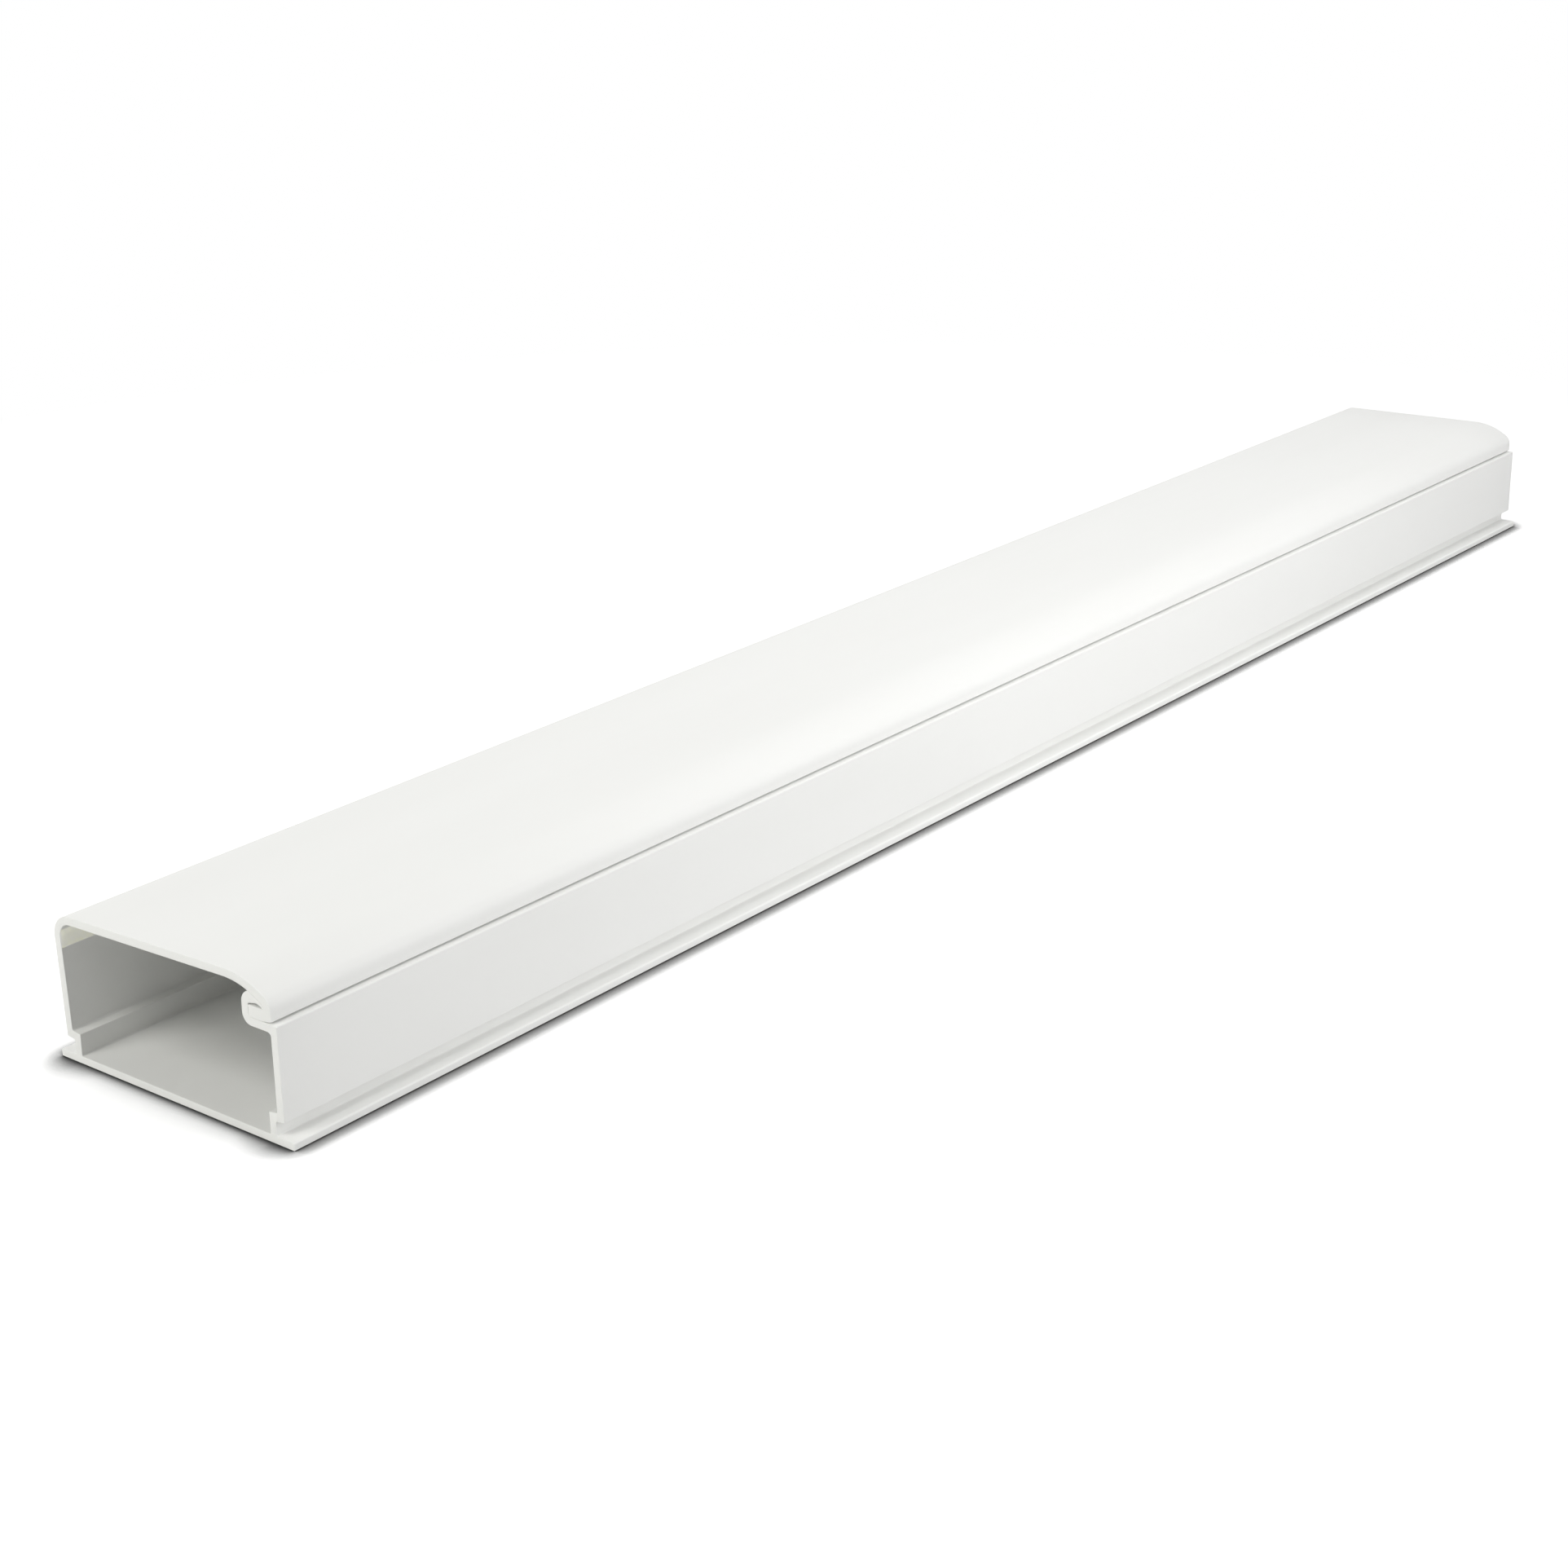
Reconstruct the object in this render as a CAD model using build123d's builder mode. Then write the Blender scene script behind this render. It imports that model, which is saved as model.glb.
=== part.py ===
from build123d import *
import os
from math import cos, radians, sin, sqrt, tan

# Cord cover raceway: one length of cable duct, extruded in one piece and cut square.
# Frame: X along the length, Z up, origin under the middle of the base.
# The latch is on the -Y side and the hinge corner on the +Y side.
# All sizes are in millimetres and degrees.

# Stock
LENGTH = 500.0          # cut length
WIDTH = 60.5            # base plate, flange tip to flange tip
HEIGHT = 30.0           # underside of the base to the crest of the lid
BASE = 1.5              # base plate thickness
SKIN = 1.6              # thickness of legs, walls, lid and catch

# Feet
FLANGE = 4.1            # how far the base stands out past each leg
FLANGE_R = 0.5          # rounding of the flange tips
LEG_HEIGHT = 4.35       # underside of the base to the step's underside at the leg
STEP = 2.05             # how far each wall stands out past its leg
STEP_RISE = 0.2         # how much higher the step's underside is at the wall

# Hinge wall and lid
HINGE_SPREAD = 1.15     # how far the hinge wall leans out at its top
HINGE_R = 4.4           # outer radius of the hinge corner
LID_PITCH = 1.9         # slope of the lid, rising to the latch
SHOULDER_R = 18.0       # wide bend of the lid towards the latch
SHOULDER_ANGLE = 32.0   # slope where the wide bend ends
SKIRT_R = 3.2           # tight bend from the shoulder into the skirt
SKIRT = 1.6             # straight part of the skirt, down to the lid's edge

# Latch wall and catch
LATCH_LEAN = 0.3        # how far the latch wall leans in at its shelf
SHELF_R = 0.6           # outer edge where the wall turns into the shelf
CORNER_R = 0.8          # inside corner under that edge
POST_R = 0.5            # inside corner between shelf and post
HEAD_R = 2.4            # rounded top of the post

# Lip of the lid, and the clearances round it
SKIRT_SET = 1.25        # how far the skirt stands in from the latch wall's face
LIP = 3.7               # reach of the lip from the skirt's inner face
LIP_HEIGHT = 1.9        # lid edge to the top of the lip
LIP_R = 0.8             # rounded upper nose of the lip
LIP_EDGE_R = 0.4        # lower nose of the lip
SEAM = 0.2              # gap under the lid's edge
CATCH_GAP = 0.2         # gap between lid and catch
SLIT = 0.6              # gap over the lip

# Positions across the section, from the middle of the base
leg = WIDTH / 2 - FLANGE
wall = leg + STEP
hinge_top = wall + HINGE_SPREAD
latch_top = wall - LATCH_LEAN
skirt = SKIRT_SET - latch_top
lip_end = skirt + SKIN + LIP
post = lip_end + CATCH_GAP

# Heights in the section, of the walls' lower edges and from the crest of the lid down to the shelf
wall_foot = LEG_HEIGHT + STEP_RISE
turn = radians(SHOULDER_ANGLE)
skirt_top = HEIGHT - SHOULDER_R * (1 - cos(turn)) - SKIRT_R * cos(turn)
lid_edge = skirt_top - SKIRT
lip_top = lid_edge + LIP_HEIGHT
shelf = lid_edge - SEAM

# Underside of the shoulder above the post, where the head of the catch stops
crest = skirt + SKIRT_R * (1 - sin(turn)) + SHOULDER_R * sin(turn)
head_top = HEIGHT - SHOULDER_R + sqrt((SHOULDER_R - SKIN) ** 2 - (post - crest) ** 2)

# Lip that hooks under the head of the catch
with BuildSketch() as lip:
    with BuildLine():
        FilletPolyline(
            (skirt + SKIN / 2, lid_edge),
            (lip_end, lid_edge),
            (lip_end, lip_top),
            (skirt + SKIN / 2, lip_top),
            radius=(0, LIP_EDGE_R, LIP_R, 0),
            close=True,
        )
    make_face()

# Lid, hinge corner, hinge wall and its leg: one skin from the skirt to the base
with BuildSketch() as lid:
    with BuildLine():
        with BuildLine(mode=Mode.PRIVATE) as lid_line:
            edge = Line((skirt, lid_edge), (skirt, skirt_top))
            bend = JernArc(edge @ 1, edge % 1, SKIRT_R, SHOULDER_ANGLE - 90)
            shoulder = JernArc(bend @ 1, bend % 1, SHOULDER_R, -SHOULDER_ANGLE - LID_PITCH)
            start = shoulder @ 1
            fall = (hinge_top - start.X) * tan(radians(LID_PITCH))
            FilletPolyline(
                start,
                (hinge_top, start.Y - fall),
                (wall, wall_foot),
                (leg, LEG_HEIGHT),
                (leg, BASE / 2),
                radius=(HINGE_R, 0, 0),
            )
        offset(lid_line.wires(), SKIN, kind=Kind.INTERSECTION, side=Side.RIGHT, mode=Mode.ADD)
    make_face()
    add(lip.sketch)

# Latch wall, its leg, the shelf and the post: the same skin, turned in at the top
with BuildSketch() as catch:
    with BuildLine():
        with BuildLine(mode=Mode.PRIVATE) as catch_line:
            FilletPolyline(
                (-leg, BASE / 2),
                (-leg, LEG_HEIGHT),
                (-wall, wall_foot),
                (-latch_top, shelf),
                (post, shelf),
                (post, lip_top),
                radius=(0, 0, 0, POST_R),
            )
        offset(catch_line.wires(), SKIN, kind=Kind.INTERSECTION, side=Side.RIGHT, mode=Mode.ADD)
    make_face()
    edge_corner = catch.vertices().sort_by_distance((-latch_top, shelf, 0))[0]
    fillet(edge_corner, SHELF_R)
    inside_corner = catch.vertices().sort_by_distance((SKIN - latch_top, shelf - SKIN, 0))[0]
    fillet(inside_corner, CORNER_R)

# Head of the catch: it fills the shoulder above the lip, less the clearances
with BuildSketch() as head:
    with BuildLine():
        FilletPolyline(
            (skirt + SKIN / 2, lip_top - LIP_R),
            (post + SKIN, lip_top - LIP_R),
            (post + SKIN, head_top),
            (post - HEAD_R, head_top),
            (skirt + SKIN / 2, lip_top),
            radius=(0, 0, HEAD_R, 0, 0),
            close=True,
        )
    make_face()
    offset(lid.sketch, CATCH_GAP, mode=Mode.SUBTRACT)
    with Locations((0, SLIT)):
        add(lip.sketch, mode=Mode.SUBTRACT)

# The whole section, drawn at one end and extruded to length
with BuildPart() as raceway:
    with BuildSketch(Plane.YZ.offset(-LENGTH / 2)) as section:
        with Locations((0, BASE / 2)):
            plate = Rectangle(WIDTH, BASE)
        fillet(plate.vertices().group_by(Axis.Y)[-1], FLANGE_R)
        add(lid.sketch)
        add(catch.sketch)
        add(head.sketch)
    extrude(amount=LENGTH)

os.makedirs("parts", exist_ok=True)
raceway.part.label = "raceway"
export_step(raceway.part, "parts/raceway.step")
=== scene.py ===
"""Looks of a cord cover raceway: one extruded length of white cable duct on a white studio floor.

The section is drawn in millimetres in the YZ plane and carried along X. The latch is on the -Y side
and the hinge corner on the +Y side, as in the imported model.
"""

import logging
from dataclasses import dataclass, field, replace
from enum import Enum
from math import cos, radians, sin
from typing import Any

import bpy
import numpy as np
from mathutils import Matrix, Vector
from numpy.typing import NDArray


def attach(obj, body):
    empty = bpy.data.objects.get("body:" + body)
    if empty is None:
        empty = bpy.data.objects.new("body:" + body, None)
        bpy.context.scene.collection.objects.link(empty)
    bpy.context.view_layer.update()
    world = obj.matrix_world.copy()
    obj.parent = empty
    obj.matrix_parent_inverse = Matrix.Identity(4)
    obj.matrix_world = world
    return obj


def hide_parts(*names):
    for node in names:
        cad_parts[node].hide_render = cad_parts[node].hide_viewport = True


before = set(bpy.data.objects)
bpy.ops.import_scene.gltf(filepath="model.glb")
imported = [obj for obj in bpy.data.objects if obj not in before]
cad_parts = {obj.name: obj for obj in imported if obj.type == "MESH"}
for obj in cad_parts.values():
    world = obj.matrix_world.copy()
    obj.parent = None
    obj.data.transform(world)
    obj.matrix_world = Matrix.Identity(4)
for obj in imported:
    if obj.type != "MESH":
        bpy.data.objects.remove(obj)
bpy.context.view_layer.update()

Array = NDArray[np.float64]
Triple = tuple[float, float, float]
Colour = tuple[float, float, float, float]

MM = 0.001
log = logging.getLogger("raceway")

# Points of an outline closer than this, in millimetres, are one point
SAME_POINT = 1e-4
# Normals whose product is below this look at each other
OPPOSED = -0.5
# Range in which most values of a noise lie
NOISE_LOW = 0.3
NOISE_HIGH = 0.7
# Sockets of a colour Mix node, which repeats its socket names for each kind of data
MIX_SHARE = 0
MIX_LOW = 6
MIX_HIGH = 7
MIX_RESULT = 2


class Face(Enum):
    """Finishes of the extrusion, valued by their material slot."""

    SKIN = 0
    CUT = 1
    HINGE = 2
    HINGE_BACK = 3


def heading(angle: float) -> Array:
    """Gives the unit vector at an angle in radians from +Y towards +Z."""
    return np.array((cos(angle), sin(angle)))


def meet(p: Array, u: Array, q: Array, v: Array) -> Array:
    """Finds where two lines of the section cross, or the lines of two equal stacks row by row.

    The line through p along u is p + s u, and s is the ratio of two cross products:
    (q - p) with v, over u with v.

    Args:
        p: A point of the first line.
        u: Direction of the first line.
        q: A point of the second line.
        v: Direction of the second line.

    Returns:
        The crossing point, or one per row.
    """
    gap = q - p
    rise = gap[..., :1] * v[..., 1:] - gap[..., 1:] * v[..., :1]
    spread = u[..., :1] * v[..., 1:] - u[..., 1:] * v[..., :1]
    return p + rise / spread * u


def circles_meet(a: Array, ra: float, b: Array, rb: float) -> Array:
    """Finds where two circles cross, on the left of the way from a to b.

    The foot of the chord lies (d d + ra ra - rb rb) / 2 d along the line of centres, and the half
    chord follows from ra by Pythagoras.

    Args:
        a: Centre of the first circle.
        ra: Radius of the first circle.
        b: Centre of the second circle.
        rb: Radius of the second circle.

    Returns:
        The crossing point.
    """
    gap = b - a
    span = np.hypot(*gap)
    along = gap / span
    foot = (span**2 + ra**2 - rb**2) / (2 * span)
    return a + foot * along + np.sqrt(ra**2 - foot**2) * np.array((-along[1], along[0]))


def inset(path: Array, depth: float) -> Array:
    """Moves an open path to its left, as the second face of a wall.

    Each segment moves along its left normal by the depth, and each inner point is where the lines
    of its two moved segments cross.

    Args:
        path: Points of the path, one row each.
        depth: Wall thickness.

    Returns:
        As many points as the path has.
    """
    run = np.diff(path, axis=0)
    run = run / np.linalg.norm(run, axis=1, keepdims=True)
    moved = depth * np.stack((-run[:, 1], run[:, 0]), axis=1)
    inner = path[1:-1]
    corners = meet(inner + moved[:-1], run[:-1], inner + moved[1:], run[1:])
    return np.concatenate((path[:1] + moved[:1], corners, path[-1:] + moved[-1:]))


def round_corners(corners: Array, segments: int, hold: float) -> Array:
    """Turns a closed loop of corners into a smooth outline.

    At a corner that turns by angle a with radius r, the arc starts r tan(a / 2) before the corner
    and its centre lies r to the inner side of that start. The arc's points are the start turned
    about the centre in equal steps up to a. One more point stands on the straight at each side of
    the arc, at most a third of the straight away, so that flat faces stay flat when shaded smooth.
    Repeated points are dropped.

    Args:
        corners: Rows of y, z and radius.
        segments: Segments in each arc.
        hold: Distance from an arc to the point on the straight beside it.

    Returns:
        Points of the outline, one row each.
    """
    place = corners[:, :2]
    radius = corners[:, 2]
    leave = np.roll(place, -1, axis=0) - place
    length = np.linalg.norm(leave, axis=1)
    leave = leave / length[:, None]
    come = np.roll(leave, 1, axis=0)
    turn = np.arctan2(
        come[:, 0] * leave[:, 1] - come[:, 1] * leave[:, 0],
        (come * leave).sum(axis=1),
    )
    cut = radius * np.tan(np.abs(turn) / 2)
    after = np.minimum(hold, np.maximum(length - cut - np.roll(cut, -1), 0) / 3)
    before = np.roll(after, 1)
    start = place - cut[:, None] * come
    side = np.sign(turn)[:, None] * np.stack((-come[:, 1], come[:, 0]), axis=1)
    centre = start + radius[:, None] * side
    step = turn[:, None] * np.linspace(0, 1, segments + 1)
    arm = start - centre
    y = np.cos(step) * arm[:, :1] - np.sin(step) * arm[:, 1:]
    z = np.sin(step) * arm[:, :1] + np.cos(step) * arm[:, 1:]
    arcs = centre[:, None, :] + np.stack((y, z), axis=2)
    first = arcs[:, :1] - (before[:, None] * come)[:, None, :]
    last = arcs[:, -1:] + (after[:, None] * leave)[:, None, :]
    points = np.concatenate((first, arcs, last), axis=1).reshape(-1, 2)
    gaps = np.linalg.norm(np.roll(points, -1, axis=0) - points, axis=1)
    return points[gaps > SAME_POINT]


def outward(points: Array) -> Array:
    """Gives the outward normals of a closed outline that runs counter-clockwise.

    The normal at a point is the chord between its two neighbours, turned a quarter turn clockwise.

    Args:
        points: Points of the outline, one row each.

    Returns:
        Unit normals, one row each.
    """
    chord = np.roll(points, -1, axis=0) - np.roll(points, 1, axis=0)
    chord = chord / np.linalg.norm(chord, axis=1, keepdims=True)
    return np.stack((chord[:, 1], -chord[:, 0]), axis=1)


@dataclass
class NodeTree:
    """A shader node tree that is being wired."""

    tree: bpy.types.NodeTree

    def __post_init__(self) -> None:
        """Clears the nodes that a new tree starts with."""
        self.tree.nodes.clear()

    def add(self, kind: str, values: dict[str | int, Any], **settings: Any) -> bpy.types.Node:
        """Adds one node.

        Args:
            kind: Node type without its ShaderNode prefix.
            values: Input sockets by name or number, each with a constant or the output that feeds it.
            settings: The node's own settings.

        Returns:
            The new node.
        """
        node = self.tree.nodes.new("ShaderNode" + kind)
        for name, value in settings.items():
            setattr(node, name, value)
        for name, value in values.items():
            if isinstance(value, bpy.types.NodeSocket):
                self.tree.links.new(value, node.inputs[name])
            else:
                node.inputs[name].default_value = value
        return node

    def streaks(self, scale: Triple, detail: float) -> bpy.types.NodeSocket:
        """Adds noise on Object coordinates, stretched by one scale per axis.

        Args:
            scale: Repeats per metre along X, Y and Z.
            detail: Octaves of finer noise.

        Returns:
            The noise output, from 0 to 1.
        """
        place = self.add("TexCoord", {})
        mapping = self.add("Mapping", {"Vector": place.outputs["Object"], "Scale": scale})
        noise = self.add(
            "TexNoise", {"Vector": mapping.outputs["Vector"], "Scale": 1.0, "Detail": detail}
        )
        return noise.outputs["Fac"]

    def math(self, operation: str, first: Any, second: Any) -> bpy.types.NodeSocket:
        """Adds one step of arithmetic on two values, each a constant or an output."""
        return self.add("Math", {0: first, 1: second}, operation=operation).outputs["Value"]

    def mix(self, share: Any, first: Any, second: Any) -> bpy.types.NodeSocket:
        """Mixes two shaders, from the first at a share of 0 to the second at 1."""
        return self.add("MixShader", {0: share, 1: first, 2: second}).outputs["Shader"]

    def spread(self, value: bpy.types.NodeSocket, low: float, high: float) -> bpy.types.NodeSocket:
        """Maps the middle of a noise to the range from low to high."""
        reach = self.add(
            "MapRange",
            {
                "Value": value,
                "From Min": NOISE_LOW,
                "From Max": NOISE_HIGH,
                "To Min": low,
                "To Max": high,
            },
        )
        return reach.outputs["Result"]

    def blend(self, value: bpy.types.NodeSocket, low: Colour, high: Colour) -> bpy.types.NodeSocket:
        """Blends two colours by the middle of a noise."""
        values = {MIX_SHARE: self.spread(value, 0.0, 1.0), MIX_LOW: low, MIX_HIGH: high}
        return self.add("Mix", values, data_type="RGBA").outputs[MIX_RESULT]


@dataclass(frozen=True)
class Plastic:
    """White PVC with fine marks left by the way its surface was made.

    The colour pair is blended by slow mottling, and the marks are noise stretched along one axis.
    Marks and mottling are in repeats per metre along X, Y and Z.
    """

    name: str
    pale: Colour
    deep: Colour
    smooth: float
    rough: float
    marks: Triple
    mark_depth: float
    mark_detail: float = 3.0
    mottling: Triple = (9.0, 40.0, 40.0)
    mottling_detail: float = 4.0
    ior: float = 1.53
    glow: float = 0.0
    glow_reach: float = 1.0 * MM
    glow_tint: Triple = (1.0, 1.0, 1.0)

    def material(self) -> bpy.types.Material:
        """Wires the shader.

        Returns:
            The material.
        """
        material = bpy.data.materials.new(self.name)
        material.use_nodes = True
        nodes = NodeTree(material.node_tree)
        marks = nodes.streaks(self.marks, self.mark_detail)
        mottling = nodes.streaks(self.mottling, self.mottling_detail)
        colour = nodes.blend(mottling, self.pale, self.deep)
        bump = nodes.add("Bump", {"Strength": 1.0, "Distance": self.mark_depth, "Height": marks})
        shader = nodes.add(
            "BsdfPrincipled",
            {
                "Base Color": colour,
                "Roughness": nodes.spread(marks, self.smooth, self.rough),
                "Normal": bump.outputs["Normal"],
                "IOR": self.ior,
                "Subsurface Weight": self.glow,
                "Subsurface Radius": self.glow_tint,
                "Subsurface Scale": self.glow_reach,
            },
        )
        nodes.add("OutputMaterial", {"Surface": shader.outputs["BSDF"]})
        return material


SKIN = Plastic(
    name="extruded_pvc",
    pale=(0.887, 0.889, 0.874, 1.0),
    deep=(0.870, 0.872, 0.855, 1.0),
    smooth=0.42,
    rough=0.5,
    marks=(3.0, 1400.0, 1400.0),
    mark_depth=0.003 * MM,
)
# Sawn ends: paler than the skin, partly the rough cut's own whiter look and partly painted light that
# brightens the end faces
SAWN_WITH_PAINTED_LIGHT = Plastic(
    name="sawn_pvc_with_painted_light",
    pale=(0.960, 0.962, 0.942, 1.0),
    deep=(0.935, 0.938, 0.916, 1.0),
    smooth=0.55,
    rough=0.7,
    marks=(400.0, 500.0, 2600.0),
    mark_depth=0.02 * MM,
)
SOFT = Plastic(
    name="soft_hinge_pvc",
    pale=(0.90, 0.90, 0.82, 1.0),
    deep=(0.88, 0.88, 0.79, 1.0),
    smooth=0.42,
    rough=0.5,
    marks=(3.0, 1200.0, 1200.0),
    mark_depth=0.003 * MM,
    glow=1.0,
    glow_reach=7.0 * MM,
    glow_tint=(1.0, 1.0, 0.7),
)
SOFT_BACK = replace(SOFT, name="soft_hinge_pvc_back", glow=0.0)
FINISHES: dict[Face, Plastic] = {
    Face.SKIN: SKIN,
    Face.CUT: SAWN_WITH_PAINTED_LIGHT,
    Face.HINGE: SOFT,
    Face.HINGE_BACK: SOFT_BACK,
}


@dataclass
class Raceway:
    """One cut length of the extrusion. Sizes are in millimetres and degrees."""

    # Stock
    length: float = 500.0
    width: float = 60.5
    height: float = 30.0
    base: float = 1.5
    skin: float = 1.6

    # Feet
    flange: float = 4.1
    flange_r: float = 0.4
    leg_height: float = 4.35
    step: float = 2.05
    step_rise: float = 0.2

    # Hinge wall and lid
    hinge_spread: float = 1.15
    hinge_r: float = 4.4
    lid_pitch: float = 1.9
    shoulder_r: float = 18.0
    shoulder_angle: float = 32.0
    skirt_r: float = 3.2
    skirt: float = 1.6

    # Latch wall, catch and lip
    latch_lean: float = 0.3
    shelf_r: float = 0.3
    corner_r: float = 0.8
    post_r: float = 0.5
    head_r: float = 2.4
    skirt_set: float = 1.25
    lip: float = 3.7
    lip_height: float = 1.9
    lip_r: float = 0.25
    lip_edge_r: float = 0.4
    catch_gap: float = 0.2
    # Distance between faces that touch on the real object
    touch: float = 0.03
    # Height of the seam at the outside, and how far in it closes
    seam: float = 0.4
    seam_depth: float = 2.2
    # Height of the slit, the places of its blunt end and crown before the post, and its arch
    slit: float = 0.7
    slit_end: float = 3.3
    slit_crown: float = 2.0
    slit_r: float = 1.4

    # Small roundings, and the heights of the soft strip
    edge_r: float = 0.12
    nook_r: float = 0.3
    ledge_r: float = 0.5
    saw_r: float = 0.1
    strip_foot: float = 21.95
    strip_top: float = 25.4

    # Mesh
    arc_segments: int = 12
    hold: float = 0.2
    stations: int = 26
    saw_rings: int = 4
    sharp_angle: float = 35.0
    name: str = "raceway_extrusion"

    def __post_init__(self) -> None:
        """Works out places across the section and heights in it from the sizes."""
        self.turn = radians(self.shoulder_angle)
        self.pitch = radians(self.lid_pitch)
        self.leg = self.width / 2 - self.flange
        self.wall = self.leg + self.step
        self.wall_foot = self.leg_height + self.step_rise
        self.hinge_top = self.wall + self.hinge_spread
        self.latch_top = self.wall - self.latch_lean
        self.skirt_y = self.skirt_set - self.latch_top
        self.post = self.skirt_y + self.skin + self.lip + self.catch_gap
        self.lip_end = self.post - self.touch
        fall = self.shoulder_r * (1 - cos(self.turn)) + self.skirt_r * cos(self.turn)
        self.skirt_top = self.height - fall
        self.lid_edge = self.skirt_top - self.skirt
        self.lip_top = self.lid_edge + self.lip_height
        self.shelf = self.lid_edge - self.seam
        crest = self.skirt_y + self.skirt_r * (1 - sin(self.turn)) + self.shoulder_r * sin(self.turn)
        self.shoulder = np.array((crest, self.height - self.shoulder_r))
        self.bend = np.array((self.skirt_y + self.skirt_r, self.skirt_top))

    def slope(self, depth: float) -> tuple[Array, Array]:
        """Gives the tangent line where shoulder and bend join, at a depth under the lid's face."""
        out = heading(self.turn + np.pi / 2)
        return self.shoulder + (self.shoulder_r - depth) * out, heading(self.turn)

    def lid_line(self, depth: float) -> tuple[Array, Array]:
        """Gives the flat of the lid as a point and a direction, at a depth under its face."""
        out = heading(np.pi / 2 - self.pitch)
        return self.shoulder + (self.shoulder_r - depth) * out, heading(-self.pitch)

    def bend_at(self, height: float, depth: float) -> tuple[Array, Array]:
        """Finds a point of the skirt's bend and the corner whose fillet starts there.

        The point is where the bend's circle, made smaller by depth, has the given height. The
        corner is where its tangent crosses the slope line.

        Args:
            height: Height of the point.
            depth: Depth under the lid's outer face.

        Returns:
            The point and the corner.
        """
        radius = self.skirt_r - depth
        rise = np.arcsin((height - self.skirt_top) / radius)
        point = self.bend + radius * np.array((-cos(rise), sin(rise)))
        return point, meet(point, heading(np.pi / 2 - rise), *self.slope(depth))

    def lid_corners(self) -> tuple[Array, Array]:
        """Gives the outer and inner corners of hinge leg, hinge wall, lid and lip.

        Returns:
            Rows of y, z and radius from the base up to the lid's edge, and from the lip back to
            the base.
        """
        lid_point, lid_way = self.lid_line(0.0)
        slope_point, slope_way = self.slope(0.0)
        hinge = lid_point + lid_way * (self.hinge_top - lid_point[0]) / lid_way[0]
        path = np.array(
            (
                (self.leg, self.base),
                (self.leg, self.leg_height),
                (self.wall, self.wall_foot),
                hinge,
                meet(lid_point, lid_way, slope_point, slope_way),
                meet(slope_point, slope_way, np.array((self.skirt_y, 0.0)), heading(np.pi / 2)),
                (self.skirt_y, self.lid_edge),
            )
        )
        outer_r = (
            self.nook_r,
            self.nook_r,
            self.edge_r,
            self.hinge_r,
            self.shoulder_r,
            self.skirt_r,
            self.edge_r,
        )
        inner_r = (
            self.nook_r,
            self.edge_r,
            self.ledge_r,
            self.hinge_r - self.skin,
            self.shoulder_r - self.skin,
            self.skirt_r - self.skin,
        )
        inner = inset(path, self.skin)[:-1]
        root, bend = self.bend_at(self.lip_top, self.skin)
        inner[-1] = bend
        sole = self.shelf + self.touch
        lip = np.array(
            (
                (self.skirt_y + self.seam_depth, sole, self.lip_edge_r),
                (self.lip_end, sole, self.lip_edge_r),
                (self.lip_end, self.lip_top, self.lip_r),
                (*root, 0.0),
            )
        )
        back = np.column_stack((inner, inner_r))[::-1]
        return np.column_stack((path, outer_r)), np.concatenate((lip, back))

    def catch_corners(self) -> Array:
        """Gives the corners of latch leg, latch wall, shelf, post and head.

        The head is rounded, stops where its rounding meets the lid's underside, follows that
        underside at a touching distance, and its tip stands on the lip beside an arched slit.

        Returns:
            Rows of y, z and radius from the base's inside round to the flange.
        """
        path = np.array(
            (
                (self.post, self.lip_top + self.lip_r),
                (self.post, self.shelf),
                (-self.latch_top, self.shelf),
                (-self.wall, self.wall_foot),
                (-self.leg, self.leg_height),
                (-self.leg, self.base),
            )
        )
        outer_r = (
            self.lip_r,
            self.post_r,
            self.shelf_r,
            self.edge_r,
            self.nook_r,
            self.nook_r,
        )
        inner_r = (
            self.post_r + self.skin,
            self.corner_r,
            self.ledge_r,
            self.edge_r,
            self.nook_r,
        )
        inner = inset(path, self.skin)
        outer = np.column_stack((path, outer_r))
        inside = np.column_stack((inner[1:], inner_r))[::-1]
        return np.concatenate((inside, self.head_corners(), outer))

    def head_corners(self) -> Array:
        """Gives the corners of the catch's head, from the post's inner face over to the slit.

        Returns:
            Rows of y, z and radius.
        """
        depth = self.skin + self.touch
        under = self.shoulder_r - self.skin
        face = self.post + self.skin
        top = self.shoulder[1] + np.sqrt(under**2 - (self.post - self.shoulder[0]) ** 2)
        round_at = np.array((face - self.head_r, top - self.head_r))
        crevice = circles_meet(round_at, self.head_r, self.shoulder, self.shoulder_r - depth)
        arm = crevice - round_at
        away = crevice - self.shoulder
        brow = meet(crevice, np.array((-arm[1], arm[0])), np.array((face, 0.0)), heading(np.pi / 2))
        crown = meet(crevice, np.array((-away[1], away[0])), *self.slope(depth))
        foot = self.lip_top + self.touch
        root, bend = self.bend_at(foot, depth)
        tip = self.post - self.slit_end
        return np.array(
            (
                (*brow, self.head_r),
                (*crevice, 0.0),
                (*crown, self.shoulder_r - depth),
                (*bend, self.skirt_r - depth),
                (*root, 0.0),
                (tip, foot, self.edge_r),
                (tip, self.lip_top + self.slit / 2, self.lip_r),
                (self.post - self.slit_crown, self.lip_top + self.slit, self.slit_r),
            )
        )

    def outline(self) -> Array:
        """Draws the whole section as one closed loop, counter-clockwise seen from +X.

        Returns:
            Points in millimetres, one row each.
        """
        half = self.width / 2
        right = np.array(
            (
                (-half, 0.0, self.edge_r),
                (half, 0.0, self.edge_r),
                (half, self.base, self.flange_r),
            )
        )
        left = np.array(((-half, self.base, self.flange_r),))
        up, back = self.lid_corners()
        corners = np.concatenate((right, up, back, self.catch_corners(), left))
        return round_corners(self.split_at_strip(corners), self.arc_segments, self.hold)

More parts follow.
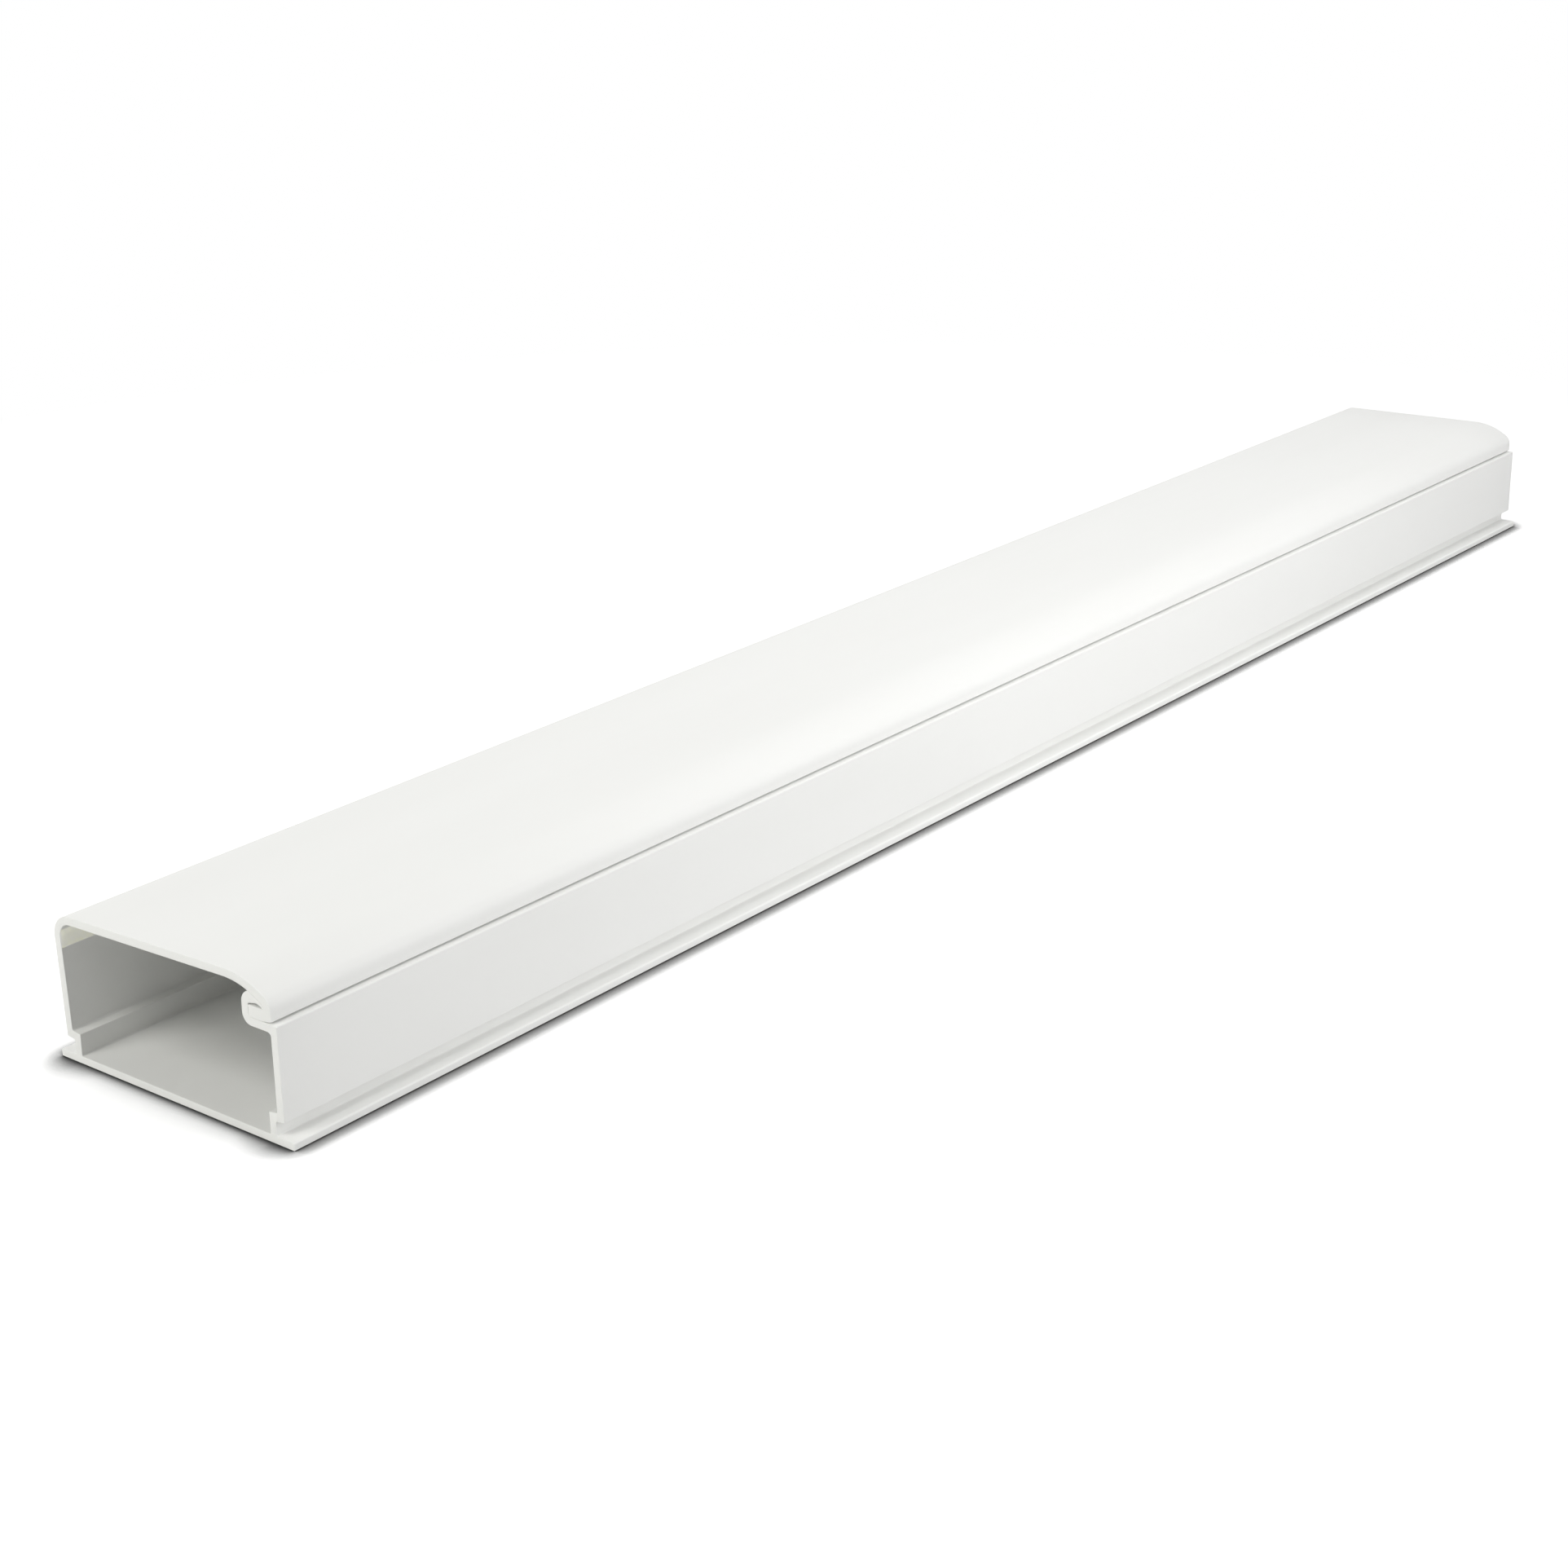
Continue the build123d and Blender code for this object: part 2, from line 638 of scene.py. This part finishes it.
    def split_at_strip(self, corners: Array) -> Array:
        """Adds a plain point on both faces of the hinge wall where the soft strip starts.

        The point lies on the straight that crosses the strip's foot, at the same share of the
        straight's run as of its rise.

        Args:
            corners: Rows of y, z and radius.

        Returns:
            The corners with the new rows, of radius 0, in their places.
        """
        ahead = np.roll(corners, -1, axis=0)
        below = corners[:, 1] < self.strip_foot
        crosses = below != (ahead[:, 1] < self.strip_foot)
        row = np.nonzero(crosses & (corners[:, 0] > 0))[0]
        share = (self.strip_foot - corners[row, 1]) / (ahead[row, 1] - corners[row, 1])
        points = corners[row] + share[:, None] * (ahead[row] - corners[row])
        points[:, 2] = 0.0
        return np.insert(corners, row + 1, points, axis=0)

    def build(self) -> bpy.types.Object:
        """Carries the outline along X and closes both ends.

        Every station is the outline at one x. At the last few stations of each end the outline
        moves in by its saw inset times (1 - cos a) while x runs on by saw_r sin a, for a from 0 to
        a quarter turn, so that the cut edges are slightly rounded.

        Returns:
            The extrusion as one closed mesh object.
        """
        loop = self.outline()
        angle = np.linspace(0, np.pi / 2, self.saw_rings + 1)[1:]
        reach = self.length / 2 - self.saw_r
        tail = reach + self.saw_r * np.sin(angle)
        body = np.linspace(-reach, reach, self.stations)
        x = np.concatenate((-tail[::-1], body, tail))
        shrink = 1 - np.cos(angle)
        share = np.concatenate((shrink[::-1], np.zeros(self.stations), shrink))
        section = loop[None] - share[:, None, None] * self.saw_inset(loop)[None]
        grid = np.concatenate(
            (np.broadcast_to(x[:, None, None], (len(x), len(loop), 1)), section), axis=2
        )
        index = np.arange(len(x) * len(loop)).reshape(len(x), len(loop))
        ahead = np.roll(index, -1, axis=1)
        quads = np.stack((index[:-1], ahead[:-1], ahead[1:], index[1:]), axis=2).reshape(-1, 4)
        faces = quads.tolist() + [index[0, ::-1].tolist(), index[-1].tolist()]
        mesh = bpy.data.meshes.new(self.name)
        mesh.from_pydata(grid.reshape(-1, 3) * MM, [], faces)
        mesh.polygons.foreach_set("material_index", self.face_slots(loop, len(x)))
        mesh.polygons.foreach_set("use_smooth", np.ones(len(faces), dtype=bool))
        mesh.set_sharp_from_angle(angle=radians(self.sharp_angle))
        mesh.update()
        piece = bpy.data.objects.new(self.name, mesh)
        bpy.context.scene.collection.objects.link(piece)
        return piece

    def saw_inset(self, loop: Array) -> Array:
        """Says how far each point of the outline moves in at a cut end.

        A point moves in along its normal by saw_r, or by a third of the gap where it faces another
        part of the outline closely, so that touching faces stay together at the cut. The gap is
        the distance to the nearest point whose normal is opposed.

        Args:
            loop: Points of the outline.

        Returns:
            The largest inset of each point, as vectors.
        """
        normal = outward(loop)
        apart = np.linalg.norm(loop[:, None] - loop[None], axis=2)
        facing = normal @ normal.T < OPPOSED
        ahead = ((loop[None] - loop[:, None]) * normal[:, None]).sum(axis=2) > 0
        gap = np.where(facing & ahead, apart, np.inf).min(axis=1)
        return np.minimum(self.saw_r, gap / 3)[:, None] * normal

    def face_slots(self, loop: Array, stations: int) -> NDArray[np.int32]:
        """Says which finish each face has.

        Faces between stations are skin, those on the hinge wall between the strip's heights are
        soft PVC, which glows only towards the channel, and the rounded cut edges and the two ends
        are sawn.

        Args:
            loop: Points of the outline.
            stations: Number of stations along X.

        Returns:
            Material slots in the order of the mesh's faces.
        """
        middle = (loop + np.roll(loop, -1, axis=0)) / 2
        above = (middle[:, 1] > self.strip_foot) & (middle[:, 1] < self.strip_top)
        strip = above & (middle[:, 0] > self.leg - self.skin)
        band = np.where(strip, Face.HINGE.value, Face.SKIN.value)
        band = np.where(strip & (middle[:, 0] > self.wall), Face.HINGE_BACK.value, band)
        slots = np.tile(band, (stations - 1, 1))
        slots[: self.saw_rings] = Face.CUT.value
        slots[-self.saw_rings :] = Face.CUT.value
        return np.append(slots.ravel(), (Face.CUT.value, Face.CUT.value)).astype(np.int32)

    def dress(self, piece: bpy.types.Object) -> None:
        """Gives the piece one material slot per finish."""
        for face in Face:
            piece.data.materials.append(FINISHES[face].material())


@dataclass(frozen=True)
class Softbox:
    """A square lamp that faces a point. Places and sizes are in metres, power is in watts."""

    name: str
    place: Triple
    aim: Triple
    size: float
    power: float
    colour: Triple = (1.0, 1.0, 1.0)

    def build(self) -> bpy.types.Object:
        """Makes the lamp and turns it to its aim.

        Glossy rays pass it by, so that pale faces show the white stage and don't clip in any view.

        Returns:
            The lamp object.
        """
        lamp = bpy.data.lights.new(self.name, "AREA")
        lamp.shape = "SQUARE"
        lamp.size = self.size
        lamp.energy = self.power
        lamp.color = self.colour
        holder = bpy.data.objects.new(self.name, lamp)
        holder.location = self.place
        holder.visible_glossy = False
        way = Vector(self.aim) - Vector(self.place)
        holder.rotation_euler = way.to_track_quat("-Z", "Y").to_euler()
        bpy.context.scene.collection.objects.link(holder)
        return holder


# Colour of the lamps at the near end, and the points that lamps face
WARM: Triple = (1.0, 1.0, 0.96)
MIDDLE: Triple = (0.0, 0.0, 0.01)
NEAR_END: Triple = (-0.25, 0.0, 0.01)


@dataclass
class Studio:
    """White floor, soft lamps and the camera. Places are in metres, angles in degrees."""

    # Floor, its colour for bouncing light, and its lit share in what the camera sees
    floor_half: float = 6.0
    floor_drop: float = 0.05 * MM
    floor_colour: Colour = (0.72, 0.72, 0.72, 1.0)
    floor_lift: float = 1.8
    floor_lit: float = 0.35
    # Painted contact shade close to the object, and the circle past which the floor is plain white
    contact_reach: float = 7.6 * MM
    contact_depth: float = 5.0
    contact_samples: int = 16
    stage_rim: float = 0.3
    stage_fade: float = 0.15
    # World light on the object
    fill: float = 0.15
    # Camera
    camera_place: Triple = (-0.534719, -0.351662, 0.225205)
    camera_yaw: float = 52.66022
    camera_pitch: float = 20.64630
    camera_lens: float = 64.260
    camera_sensor: float = 36.0
    camera_near: float = 0.01
    camera_far: float = 50.0
    # Lamps
    lamps: tuple[Softbox, ...] = field(
        default_factory=lambda: (
            Softbox("overhead", (0.33, -0.12, 0.8), (0.2, 0.0, 0.02), 0.5, 2.3),
            Softbox("latch_side", (0.0, -0.42, 0.22), MIDDLE, 0.3, 1.31),
            Softbox("near_end_low", (-1.2, 0.35, 0.45), NEAR_END, 0.5, 4.4, WARM),
            Softbox("near_end_high", (-0.8, 0.0, 0.9), NEAR_END, 0.4, 2.85, WARM),
            Softbox("hinge_side", (0.05, 0.8, 0.55), (0.05, 0.0, 0.01), 0.7, 3.0),
        )
    )

    def build_floor(self) -> bpy.types.Object:
        """Lays a plain pale floor that the camera sees as white, with a painted contact shadow and
        part of the lamps' real shadow kept.

        Returns:
            The floor object.
        """
        half = self.floor_half
        low = -self.floor_drop
        mesh = bpy.data.meshes.new("floor")
        corners = [(-half, -half, low), (half, -half, low), (half, half, low), (-half, half, low)]
        mesh.from_pydata(corners, [], [(0, 1, 2, 3)])
        mesh.materials.append(self.floor_material())
        floor = bpy.data.objects.new("floor", mesh)
        bpy.context.scene.collection.objects.link(floor)
        return floor

    def floor_material(self) -> bpy.types.Material:
        """Wires the floor: pale for light that bounces, lifted to white where it is looked at.

        The camera sees a mix of an even glow and of the lit surface, lifted, and reflections see the
        glow alone. Both are darkened by a painted contact shade from ambient occlusion where the
        object stands close over the floor, so that this painted contact shadow stays dark while the
        open floor is white. Past the stage's rim the floor is plain white.

        Returns:
            The material.
        """
        material = bpy.data.materials.new("studio_floor")
        material.use_nodes = True
        nodes = NodeTree(material.node_tree)
        pale = nodes.add("BsdfDiffuse", {"Color": self.floor_colour})
        contact = nodes.add(
            "AmbientOcclusion", {"Distance": self.contact_reach}, samples=self.contact_samples
        )
        # Painted contact shade: ambient occlusion close to the object, deepened by a power
        shade = nodes.math("POWER", contact.outputs["AO"], self.contact_depth)
        lifted = nodes.add("BsdfDiffuse", {"Color": nodes.math("MULTIPLY", shade, self.floor_lift)})
        # The even glow carries the painted contact shade
        glow = nodes.add("Emission", {"Strength": shade})
        path = nodes.add("LightPath", {})
        lit = nodes.math("MULTIPLY", path.outputs["Is Camera Ray"], self.floor_lit)
        near = nodes.mix(lit, glow.outputs["Emission"], lifted.outputs["BSDF"])
        white = nodes.add("Emission", {"Strength": 1.0})
        place = nodes.add("TexCoord", {})
        distance = nodes.add("VectorMath", {0: place.outputs["Object"]}, operation="LENGTH")
        rim = nodes.add(
            "MapRange",
            {
                "Value": distance.outputs["Value"],
                "From Min": self.stage_rim,
                "From Max": self.stage_rim + self.stage_fade,
            },
        )
        seen = nodes.mix(rim.outputs["Result"], near, white.outputs["Emission"])
        both = nodes.mix(self.looked_at(nodes), pale.outputs["BSDF"], seen)
        nodes.add("OutputMaterial", {"Surface": both})
        return material

    def looked_at(self, nodes: NodeTree) -> bpy.types.NodeSocket:
        """Adds a switch that is 1 for rays from the camera, mirrors and glass.

        Args:
            nodes: The tree to add it to.

        Returns:
            The switch's output.
        """
        path = nodes.add("LightPath", {})
        direct = nodes.math("MAXIMUM", path.outputs["Is Camera Ray"], path.outputs["Is Glossy Ray"])
        return nodes.math("MAXIMUM", direct, path.outputs["Is Transmission Ray"])

    def build_world(self) -> None:
        """Sets even fill light, and white where the world itself is looked at."""
        world = bpy.data.worlds.new("studio")
        world.use_nodes = True
        nodes = NodeTree(world.node_tree)
        strength = nodes.add(
            "MapRange", {"Value": self.looked_at(nodes), "To Min": self.fill, "To Max": 1.0}
        )
        light = nodes.add(
            "Background", {"Color": (1.0, 1.0, 1.0, 1.0), "Strength": strength.outputs["Result"]}
        )
        nodes.add("OutputWorld", {"Surface": light.outputs["Background"]})
        bpy.context.scene.world = world

    def build_camera(self) -> bpy.types.Object:
        """Places the camera at the photograph's viewpoint.

        Returns:
            The camera object.
        """
        camera = bpy.data.cameras.new("camera")
        camera.lens = self.camera_lens
        camera.sensor_width = self.camera_sensor
        camera.clip_start = self.camera_near
        camera.clip_end = self.camera_far
        holder = bpy.data.objects.new("camera", camera)
        holder.location = self.camera_place
        holder.rotation_euler = (radians(90 - self.camera_pitch), 0.0, radians(-self.camera_yaw))
        bpy.context.scene.collection.objects.link(holder)
        bpy.context.scene.camera = holder
        return holder

    def build(self) -> None:
        """Sets the whole stage."""
        self.build_floor()
        self.build_world()
        for lamp in self.lamps:
            lamp.build()
        self.build_camera()
        bpy.context.scene.view_settings.view_transform = "Standard"


def main() -> None:
    """Builds the extrusion and the studio."""
    logging.basicConfig(level=logging.INFO, format="%(name)s: %(message)s")
    raceway = Raceway()
    piece = raceway.build()
    raceway.dress(piece)
    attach(piece, "root")
    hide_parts("raceway")
    log.info("%s: %d faces", piece.name, len(piece.data.polygons))
    Studio().build()
    log.info("studio is set")


if __name__ == "__main__":
    main()
